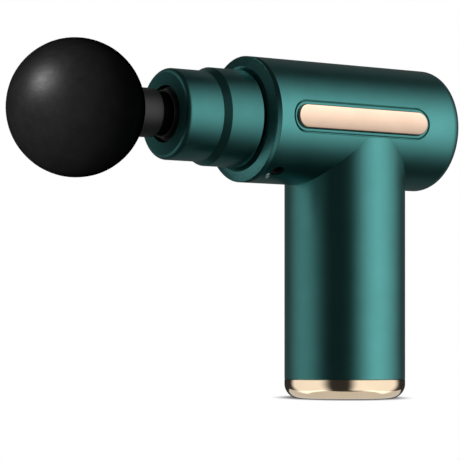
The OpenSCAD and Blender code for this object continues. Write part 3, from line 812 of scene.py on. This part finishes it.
def build_head_core():
    """The moulded stem: core in the foam, collar, narrower neck, flange and push-in stem."""
    low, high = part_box("head_core")
    plunger_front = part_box("plunger")[0].x
    core_x = low.x + CORE_R
    neck_r, flange_r, stem_r = 7.75 * MM, 8.65 * MM, 5.65 * MM
    collar_depth, neck_l, flange_t, stem_tip = 1.8 * MM, 4.25 * MM, 0.9 * MM, 0.8 * MM
    collar_start = core_x + node_radius("head_ball") - collar_depth
    flange_end = plunger_front - FIT
    flange_start = flange_end - flange_t
    collar_end = flange_start - neck_l
    o_ring_x = sum(corner.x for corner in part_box("stem_o_ring")) / 2
    groove_r, groove = stem_r - 0.9 * MM, 0.6 * MM
    core_angle = math.degrees(math.asin(POST_R / CORE_R))
    outline = [(0, low.x)]
    outline += arc((0, core_x), CORE_R, -90, 90 - core_angle, 24)[1:]
    outline += [(POST_R, collar_start), (HEAD_COLLAR_R, collar_start)]
    outline += arc((HEAD_COLLAR_R - EDGE, collar_end - EDGE), EDGE, 0, 90, 5)
    outline += [(neck_r, collar_end), (neck_r, flange_start)]
    flange_edge = 0.4 * MM
    outline += arc((flange_r - flange_edge, flange_start + flange_edge), flange_edge, -90, 0, 6)
    outline += arc((flange_r - flange_edge, flange_end - flange_edge), flange_edge, 0, 90, 6)
    outline += [(stem_r, flange_end), (stem_r, o_ring_x - groove), (groove_r, o_ring_x - groove)]
    outline += [(groove_r, o_ring_x + groove), (stem_r, o_ring_x + groove)]
    outline += [(stem_r, high.x - stem_tip), (stem_r - stem_tip, high.x), (0, high.x)]
    core = lathe("head_core_moulded", outline)
    place(core, "head_core", MATERIALS["head_stem"])


# ---------- rear button ----------

def build_button():
    """The power button: a dished cap with a fine ring groove."""
    low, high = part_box("power_button")
    flange_r = (high.y - low.y) / 2
    cap_r = flange_r - 0.9 * MM
    flange_front = BARREL_REAR - WALL - 1.2 * MM
    flange_back = BARREL_REAR - WALL - 0.2 * MM
    stem_r = 2 * MM
    edge = 0.5 * MM
    dish = 0.35 * MM
    outline = [(0, low.x), (stem_r, low.x), (stem_r, flange_front), (flange_r, flange_front)]
    outline += [(flange_r, flange_back), (cap_r, flange_back)]
    outline += arc((cap_r - edge, high.x - edge), edge, 0, 90, 6)
    groove_r, groove_top, groove_bottom = 0.62 * cap_r, 0.3 * MM, 0.2 * MM
    groove_x = high.x - dish - 0.2 * MM
    outline += [(groove_r + groove_top, high.x - dish * 0.6), (groove_r + groove_bottom, groove_x)]
    outline += [(groove_r - groove_bottom, groove_x), (groove_r - groove_top, high.x - dish * 0.8)]
    outline.append((0, high.x - dish))
    button = lathe("power_button_cap", outline, segments=96)
    place(button, "power_button", MATERIALS["head_plastic"])


# ---------- studio ----------

VIEW_AZIMUTH = math.radians(-34)
CAMERA_BACK = 0.8504  # from the handle's axis to the camera, along the line of sight
CAMERA_LEFT = 0.0431  # how far the line of sight passes in front of the handle
CAMERA_HEIGHT = 0.0162
LENS = 177.13
SENSOR = 36.0
LENS_SHIFT = 0.2725

VIEW_RIGHT = Vector((math.cos(VIEW_AZIMUTH), math.sin(VIEW_AZIMUTH), 0))
VIEW_BACK = Vector((math.sin(VIEW_AZIMUTH), -math.cos(VIEW_AZIMUTH), 0))
UP = Vector((0, 0, 1))


def build_camera():
    data = bpy.data.cameras.new("camera")
    data.lens = LENS
    data.sensor_width = SENSOR
    data.shift_y = LENS_SHIFT
    data.clip_start = 0.01
    camera = bpy.data.objects.new("camera", data)
    bpy.context.scene.collection.objects.link(camera)
    camera.location = VIEW_BACK * CAMERA_BACK - VIEW_RIGHT * CAMERA_LEFT + UP * CAMERA_HEIGHT
    camera.rotation_euler = (math.pi / 2, 0, VIEW_AZIMUTH)
    bpy.context.scene.camera = camera


class Rays:
    """Shader nodes of a softbox that see from which side a ray of its light comes.

    Azimuth is measured from the way the softbox lies, and is positive towards the camera's right
    for a softbox that lies behind the camera.
    """

    def __init__(self, tree, facing):
        self.tree = tree
        self.incoming = tree.nodes.new("ShaderNodeNewGeometry").outputs["Incoming"]
        ahead = self.dot(-view_direction(facing))
        aside = self.dot(-view_direction(facing + 90))
        self.azimuth = self.math("ARCTAN2", aside, ahead)
        self.elevation = self.math("ARCSINE", self.dot((0, 0, -1)))

    def math(self, operation, *values):
        made = self.tree.nodes.new("ShaderNodeMath")
        made.operation = operation
        for socket, value in zip(made.inputs, values):
            self.tree.links.new(value, socket)
        return made.outputs[0]

    def dot(self, axis):
        made = self.tree.nodes.new("ShaderNodeVectorMath")
        made.operation = "DOT_PRODUCT"
        self.tree.links.new(self.incoming, made.inputs[0])
        made.inputs[1].default_value = axis
        return made.outputs["Value"]

    def step(self, source, start, end):
        made = self.tree.nodes.new("ShaderNodeMapRange")
        made.interpolation_type = "SMOOTHSTEP"
        self.tree.links.new(source, made.inputs["Value"])
        made.inputs["From Min"].default_value = math.radians(start)
        made.inputs["From Max"].default_value = math.radians(end)
        return made.outputs["Result"]

    def window(self, source, rise_start, rise_end, fall_start, fall_end):
        """Rises smoothly from 0 to 1, stays there, and falls back to 0. Angles in degrees."""
        rise = self.step(source, rise_start, rise_end)
        fall = self.step(source, fall_end, fall_start)
        return self.math("MULTIPLY", rise, fall)


def view_direction(azimuth):
    """Level direction at an azimuth in degrees, from the way back to the camera to its right."""
    angle = math.radians(azimuth)
    return VIEW_BACK * math.cos(angle) + VIEW_RIGHT * math.sin(angle)


AMBIENT = 0.028
PANEL = 4.4  # side of a softbox, one metre away
MIDDLE = Vector((0, 0, 0.06))  # what the softboxes face

# Softboxes round the object, each with the azimuth where it lies, the azimuths from there and
# the elevations at which its glow rises and falls, in degrees, and its glow.
SOFTBOXES = {
    "left": {"facing": -96, "across": (-50, 6, 12, 62), "up": (-64, 4, 4.1, 70), "glow": 0.52},
    "right": {"facing": 78, "across": (-74, -16, -16, 62), "up": (-57, 0, 12, 78), "glow": 1.22},
    "behind": {"facing": 180, "across": (-55, -25, 25, 55), "up": (-80, -40, 40, 65), "glow": 0.07},
    "nose": {"facing": 78, "across": (-74, -16, -8, 74), "up": (-58, 4, 6, 78), "glow": 0.82},
    "ring_front": {"facing": -82, "across": (-50, -20, 20, 50), "up": (-32, -11, -9, 20), "glow": 0.62},
    "ring_recess": {"facing": -105, "across": (-50, -30, 30, 50), "up": (32, 46, 60, 80), "glow": 0.7},
    "ring_side": {"facing": 66, "across": (-60, -20, 20, 60), "up": (-80, -44, -24, 30), "glow": 0.4},
    "trim": {"facing": 76, "across": (-62, -14, -12, 62), "up": (-44, 44, 85, 90), "glow": 1.75},
    "cap_left": {"facing": -82, "across": (-48, -30, 28, 54), "up": (-52, -46, 30, 45), "glow": 1.0},
    "cap_right": {"facing": 65, "across": (-62, -40, 39, 62), "up": (-52, -46, 30, 45), "glow": 1.04},
}
GOLD_CAP = ("base_cap_turned",)
TRIMS = ("left_trim_plate", "right_trim_plate")
FOAM = ("foam_ball",)
NOSE = ("nose_cap_ring", "nose_collar_ring")
RING = ("front_ring_turned",)
OWN_LIGHT = GOLD_CAP + FOAM + RING

# The pieces that each softbox lights, or leaves out.
LIT_BY = {
    "left": (OWN_LIGHT, "EXCLUDE"),
    "right": (OWN_LIGHT + TRIMS + NOSE, "EXCLUDE"),
    "behind": (OWN_LIGHT, "EXCLUDE"),
    "nose": (NOSE, "INCLUDE"),
    "ring_front": (RING, "INCLUDE"),
    "ring_recess": (RING, "INCLUDE"),
    "ring_side": (RING, "INCLUDE"),
    "trim": (TRIMS, "INCLUDE"),
    "cap_left": (GOLD_CAP, "INCLUDE"),
    "cap_right": (GOLD_CAP, "INCLUDE"),
}

# The pieces that block a softbox, or don't: some stand close to what it lights.
BLOCKED_BY = {
    "nose": (RING + ("housing_shell",), "EXCLUDE"),
    "ring_front": (RING, "INCLUDE"),
    "ring_recess": (RING, "INCLUDE"),
}


def link_light(light, pieces, state):
    """Lights only some pieces, or all the others."""
    light.light_linking.receiver_collection = link_group(light.name + "_pieces", pieces, state)


def link_group(name, pieces, state):
    group = bpy.data.collections.new(name)
    for piece in pieces:
        group.objects.link(bpy.data.objects[piece])
    for entry in group.collection_objects:
        entry.light_linking.link_state = state
    return group


def light_panel(name, towards, distance, size, glow, target):
    """A square panel that faces the target; its surface is as bright as white paper at glow 1."""
    data = bpy.data.lights.new(name, "AREA")
    data.size = size
    data.energy = math.pi * size ** 2 * glow
    light = bpy.data.objects.new(name, data)
    bpy.context.scene.collection.objects.link(light)
    light.location = target + towards.normalized() * distance
    light.rotation_euler = towards.to_track_quat("Z", "Y").to_euler()
    light.visible_camera = False
    return light


def build_softbox(name, settings):
    """A big panel round the object whose glow fades at the edges of its window of angles."""
    towards = view_direction(settings["facing"])
    light = light_panel(name, towards, 1.0, PANEL, settings["glow"], MIDDLE)
    light.data.use_nodes = True
    tree = light.data.node_tree
    rays = Rays(tree, settings["facing"])
    strength = rays.math(
        "MULTIPLY",
        rays.window(rays.azimuth, *settings["across"]),
        rays.window(rays.elevation, *settings["up"]),
    )
    tree.links.new(strength, tree.nodes["Emission"].inputs["Strength"])
    link_light(light, *LIT_BY[name])
    if name in BLOCKED_BY:
        light.light_linking.blocker_collection = link_group(name + "_blockers", *BLOCKED_BY[name])


def build_world():
    """A dim sky that the camera sees as white."""
    world = bpy.data.worlds.new("studio")
    bpy.context.scene.world = world
    world.use_nodes = True
    tree = world.node_tree
    strength = tree.nodes.new("ShaderNodeMapRange")
    tree.links.new(tree.nodes.new("ShaderNodeLightPath").outputs["Is Camera Ray"], strength.inputs["Value"])
    strength.inputs["To Min"].default_value = AMBIENT
    background = tree.nodes["Background"]
    background.inputs["Color"].default_value = (1, 1, 1, 1)
    tree.links.new(strength.outputs["Result"], background.inputs["Strength"])


def build_ball_lights():
    """A small key light whose reflection shows on the foam, and a wider one that only fills."""
    low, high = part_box("head_ball")
    ball = (low + high) / 2
    key_way = VIEW_RIGHT * -0.69 + VIEW_BACK * 0.39 + UP * 0.56
    key = light_panel("key", key_way, distance=0.6, size=0.2, glow=36, target=ball)
    key.visible_diffuse = False
    link_light(key, FOAM, "INCLUDE")
    fill_way = VIEW_RIGHT * -0.6 + VIEW_BACK * 0.8
    fill = light_panel("fill", fill_way, distance=0.6, size=0.3, glow=17, target=ball)
    fill.visible_glossy = False
    link_light(fill, FOAM, "INCLUDE")


def build_lights():
    for name, settings in SOFTBOXES.items():
        build_softbox(name, settings)
    below_way = -UP - VIEW_BACK * 0.35
    below = light_panel("below", below_way, distance=0.3, size=0.8, glow=0.6, target=Vector())
    link_light(below, GOLD_CAP, "INCLUDE")
    build_ball_lights()


# The contact shadow is painted into the floor's glow, not cast by the lamps.
SHADOW_BEHIND = 22 * MM  # the contact shadow's centre lies behind the handle's axis
SHADOW_STRETCH = 0.4  # its width divided by its length
SHADOW_DARK_R, SHADOW_LIGHT_R = 18.5 * MM, 28.5 * MM
SHADOW_TONE = 0.16


def build_floor():
    """A white floor that the camera sees as pale paper, with a soft contact shadow painted into its glow;
    the lamps cast no shadow on it.
    """
    bm = bmesh.new()
    bmesh.ops.create_grid(bm, x_segments=2, y_segments=2, size=3)
    floor = from_bmesh("floor", bm)
    floor.location.z = -FIT
    floor.visible_glossy = False
    floor.visible_diffuse = False
    floor.visible_shadow = False
    shader = Shader("floor_paper", (1, 1, 1))
    tree = shader.tree
    tree.nodes.remove(shader.principled)
    turned = shader.node("ShaderNodeMapping", Vector=shader.place)
    turned.vector_type = "TEXTURE"
    turned.inputs["Location"].default_value = VIEW_BACK * -SHADOW_BEHIND
    turned.inputs["Rotation"].default_value = (0, 0, VIEW_AZIMUTH)
    turned.inputs["Scale"].default_value = (1, 1 / SHADOW_STRETCH, 1)
    reach = shader.node("ShaderNodeVectorMath", Vector=turned.outputs["Vector"])
    reach.operation = "LENGTH"
    painted_shadow = tree.nodes.new("ShaderNodeMapRange")
    painted_shadow.interpolation_type = "SMOOTHSTEP"
    tree.links.new(reach.outputs["Value"], painted_shadow.inputs["Value"])
    painted_shadow.inputs["From Min"].default_value = SHADOW_DARK_R
    painted_shadow.inputs["From Max"].default_value = SHADOW_LIGHT_R
    painted_shadow.inputs["To Min"].default_value = SHADOW_TONE
    glow = tree.nodes.new("ShaderNodeEmission")
    tree.links.new(painted_shadow.outputs["Result"], glow.inputs["Strength"])
    tree.links.new(glow.outputs[0], tree.nodes["Material Output"].inputs["Surface"])
    floor.data.materials.append(shader.material)


finish_cad_nodes()
build_housing()
build_front_ring()
build_nose_collar()
build_nose_cap()
for trim_side, sign in (("left", -1), ("right", 1)):
    build_trim(trim_side + "_trim", sign)
    build_trim_rim(trim_side + "_trim_frame", sign)
build_base_cap()
build_ball()
build_head_core()
build_button()
build_charge_light()

build_camera()
build_world()
build_floor()
build_lights()
bpy.context.scene.view_settings.view_transform = "Standard"
